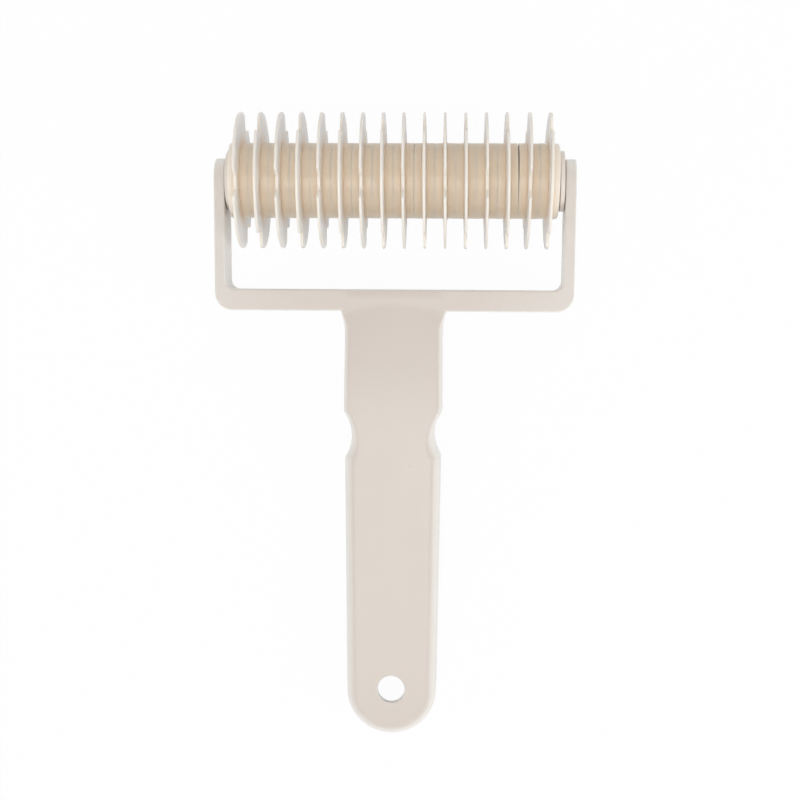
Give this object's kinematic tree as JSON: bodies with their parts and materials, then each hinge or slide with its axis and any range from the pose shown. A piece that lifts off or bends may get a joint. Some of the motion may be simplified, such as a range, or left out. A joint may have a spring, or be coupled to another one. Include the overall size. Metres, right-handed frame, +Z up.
{
  "type": "lattice roller cutter",
  "caption": "Hand-held pastry lattice roller: notched cutting wheels on a keyed shaft that spins freely between the arms of a one-piece forked handle with a hanging hole.",
  "frame": {"origin": "middle of the footprint, on the table that the cutter lies on", "axes": "+X along the shaft, +Y from the handle towards the cutting wheels, +Z up"},
  "size_m": [0.1154, 0.2007, 0.0433],
  "materials": {
    "handle_plastic": "cream injection-moulded plastic with a soft satin surface",
    "wheel_plastic": "warm cream injection-moulded plastic with a soft satin surface",
    "shaft_plastic": "warm cream injection-moulded plastic, plain"
  },
  "bodies": {
    "handle": {"handle_yoke": "handle_plastic"},
    "roller": {"roller_shaft": "shaft_plastic", "end_cap_left": "wheel_plastic", "end_cap_right": "wheel_plastic", "cutting_wheel_01": "wheel_plastic", "cutting_wheel_02": "wheel_plastic", "cutting_wheel_03": "wheel_plastic", "cutting_wheel_04": "wheel_plastic", "cutting_wheel_05": "wheel_plastic", "cutting_wheel_06": "wheel_plastic", "cutting_wheel_07": "wheel_plastic", "cutting_wheel_08": "wheel_plastic", "cutting_wheel_09": "wheel_plastic", "cutting_wheel_10": "wheel_plastic", "cutting_wheel_11": "wheel_plastic", "cutting_wheel_12": "wheel_plastic", "cutting_wheel_13": "wheel_plastic", "cutting_wheel_14": "wheel_plastic", "cutting_wheel_15": "wheel_plastic", "cutting_wheel_16": "wheel_plastic"}
  },
  "joints": [
    {"name": "roller_spin", "type": "hinge", "parent": "handle", "child": "roller", "pos_m": [0, 0.07845, 0.02165], "axis": [1, 0, 0], "continuous": true}
  ]
}
